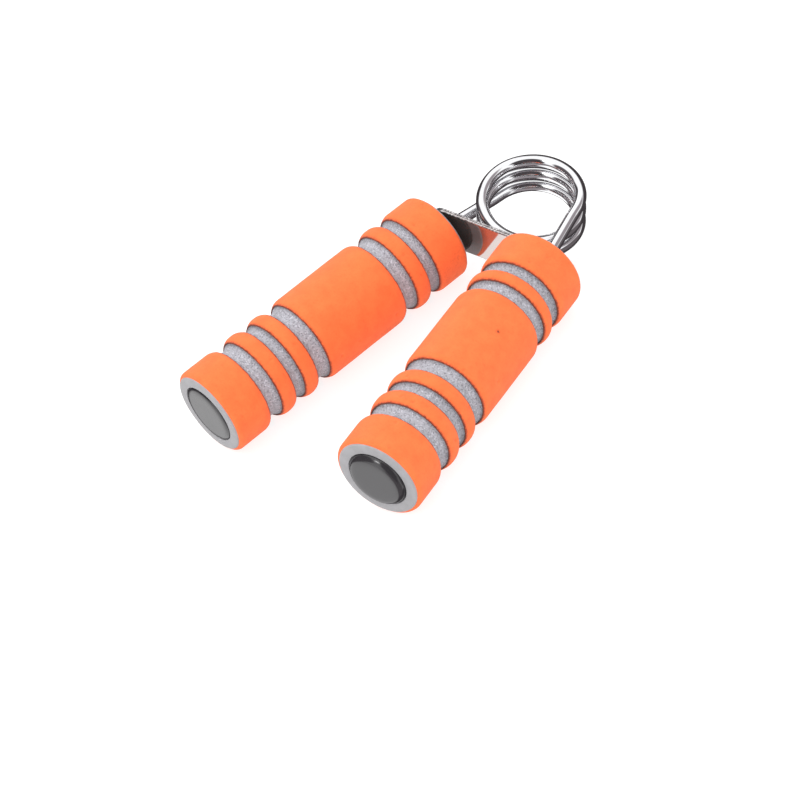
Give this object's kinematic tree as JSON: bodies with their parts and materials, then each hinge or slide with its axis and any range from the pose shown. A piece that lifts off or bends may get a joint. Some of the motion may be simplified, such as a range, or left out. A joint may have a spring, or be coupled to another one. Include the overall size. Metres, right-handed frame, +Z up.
{
  "type": "hand grip strengthener",
  "caption": "Hand grip strengthener: foam covered handles on the arms of a coiled torsion spring, squeezed together, with a slotted limiter plate across the arms.",
  "frame": {"origin": "middle of the grip's footprint, on the surface that it lies on", "axes": "+Y along the grip from the handles' bottom ends to the spring coil, +Z up off the table, +X towards the handle whose arm leaves the top of the coil"},
  "size_m": [0.1032, 0.1406, 0.03],
  "materials": {
    "spring_chrome": "polished chrome plating",
    "plate_chrome": "mirror polished chrome plating",
    "orange_foam": "fine closed cell foam with a matt skin",
    "grey_foam": "ground closed cell foam, grainy",
    "plug_gloss": "glossy moulded plastic",
    "plug_black": "satin moulded plastic",
    "tube_plastic": "extruded plastic"
  },
  "bodies": {
    "left_handle": {"left_core_tube": "tube_plastic", "left_bottom_end_plug": "plug_gloss", "left_top_end_plug": "plug_black", "left_arm_bush": "tube_plastic", "left_foam_sleeve": "grey_foam", "left_bottom_band": "orange_foam", "left_lower_rib": "orange_foam", "left_middle_rib": "orange_foam", "left_grip_band": "orange_foam", "left_upper_rib": "orange_foam", "left_top_band": "orange_foam"},
    "limiter": {"torsion_spring": "spring_chrome", "limiter_plate": "plate_chrome"},
    "right_handle": {"right_core_tube": "tube_plastic", "right_bottom_end_plug": "plug_gloss", "right_top_end_plug": "plug_black", "right_arm_bush": "tube_plastic", "right_foam_sleeve": "grey_foam", "right_bottom_band": "orange_foam", "right_lower_rib": "orange_foam", "right_middle_rib": "orange_foam", "right_grip_band": "orange_foam", "right_upper_rib": "orange_foam", "right_top_band": "orange_foam"}
  },
  "joints": [
    {"name": "limiter_turn", "type": "hinge", "parent": "left_handle", "child": "limiter", "pos_m": [0, 0.05251, 0.015], "axis": [-0.342, 0, -0.9397], "range_deg": [0, 12], "stiffness_Nm_per_rad": 20.8, "springref_deg": -2.86},
    {"name": "squeeze", "type": "hinge", "parent": "limiter", "child": "right_handle", "pos_m": [0, 0.05251, 0.015], "axis": [-0.342, 0, -0.9397], "range_deg": [0, 12], "stiffness_Nm_per_rad": 20.8, "springref_deg": -2.86, "deforming": ["torsion_spring"]}
  ],
  "couplings": [
    {"joint": "limiter_turn", "follows": "squeeze", "ratio": 1}
  ]
}
